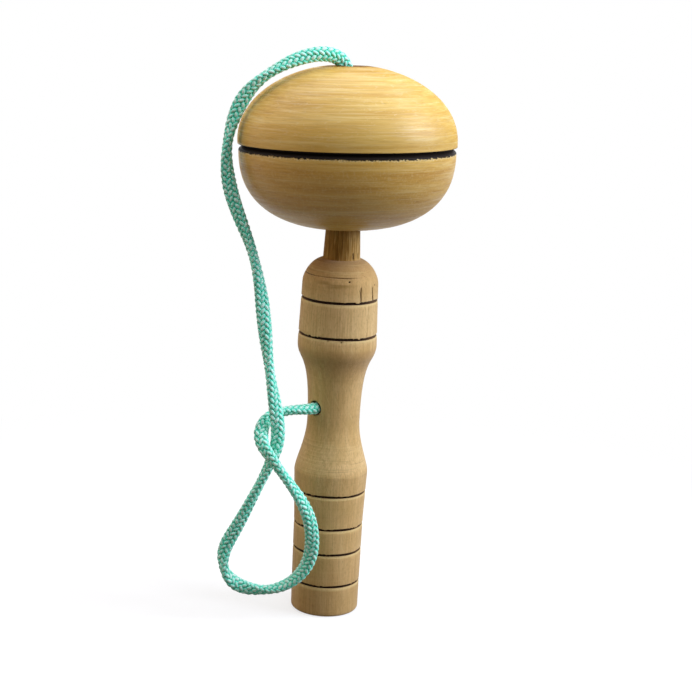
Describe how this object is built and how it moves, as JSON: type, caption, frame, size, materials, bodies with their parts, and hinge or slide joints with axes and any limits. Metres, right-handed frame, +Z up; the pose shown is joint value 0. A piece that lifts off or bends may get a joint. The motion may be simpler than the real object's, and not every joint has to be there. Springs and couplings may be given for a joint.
{
  "type": "cup and ball toy",
  "caption": "Wooden cup and ball of the peg kind: a turned handle ending in a tapered peg, a flattened ball head with a socket and a painted groove, and a braided cord tying them together.",
  "frame": {"origin": "middle of the handle's flat foot", "axes": "+Z up along the handle and its peg, -Y towards the viewer of the picture, +X to the viewer's right"},
  "size_m": [0.0931, 0.0874, 0.2328],
  "materials": {
    "bare_wood": "raw turned wood",
    "lacquered_wood": "satin lacquer",
    "green_cord": "braided synthetic cord"
  },
  "bodies": {
    "handle": {"handle": "bare_wood", "cord": "green_cord"},
    "cord_end": {"head_knot": "green_cord"},
    "head": {"head": "lacquered_wood"}
  },
  "joints": [
    {"name": "head_lift", "type": "slide", "parent": "handle", "child": "cord_end", "axis": [0, 0, 1], "range_m": [0, 0.042], "deforming": ["cord"]},
    {"name": "head_spin", "type": "hinge", "parent": "cord_end", "child": "head", "pos_m": [0, 0, 0.19745], "axis": [-0.0314, 0.0192, 0.9993], "continuous": true}
  ]
}
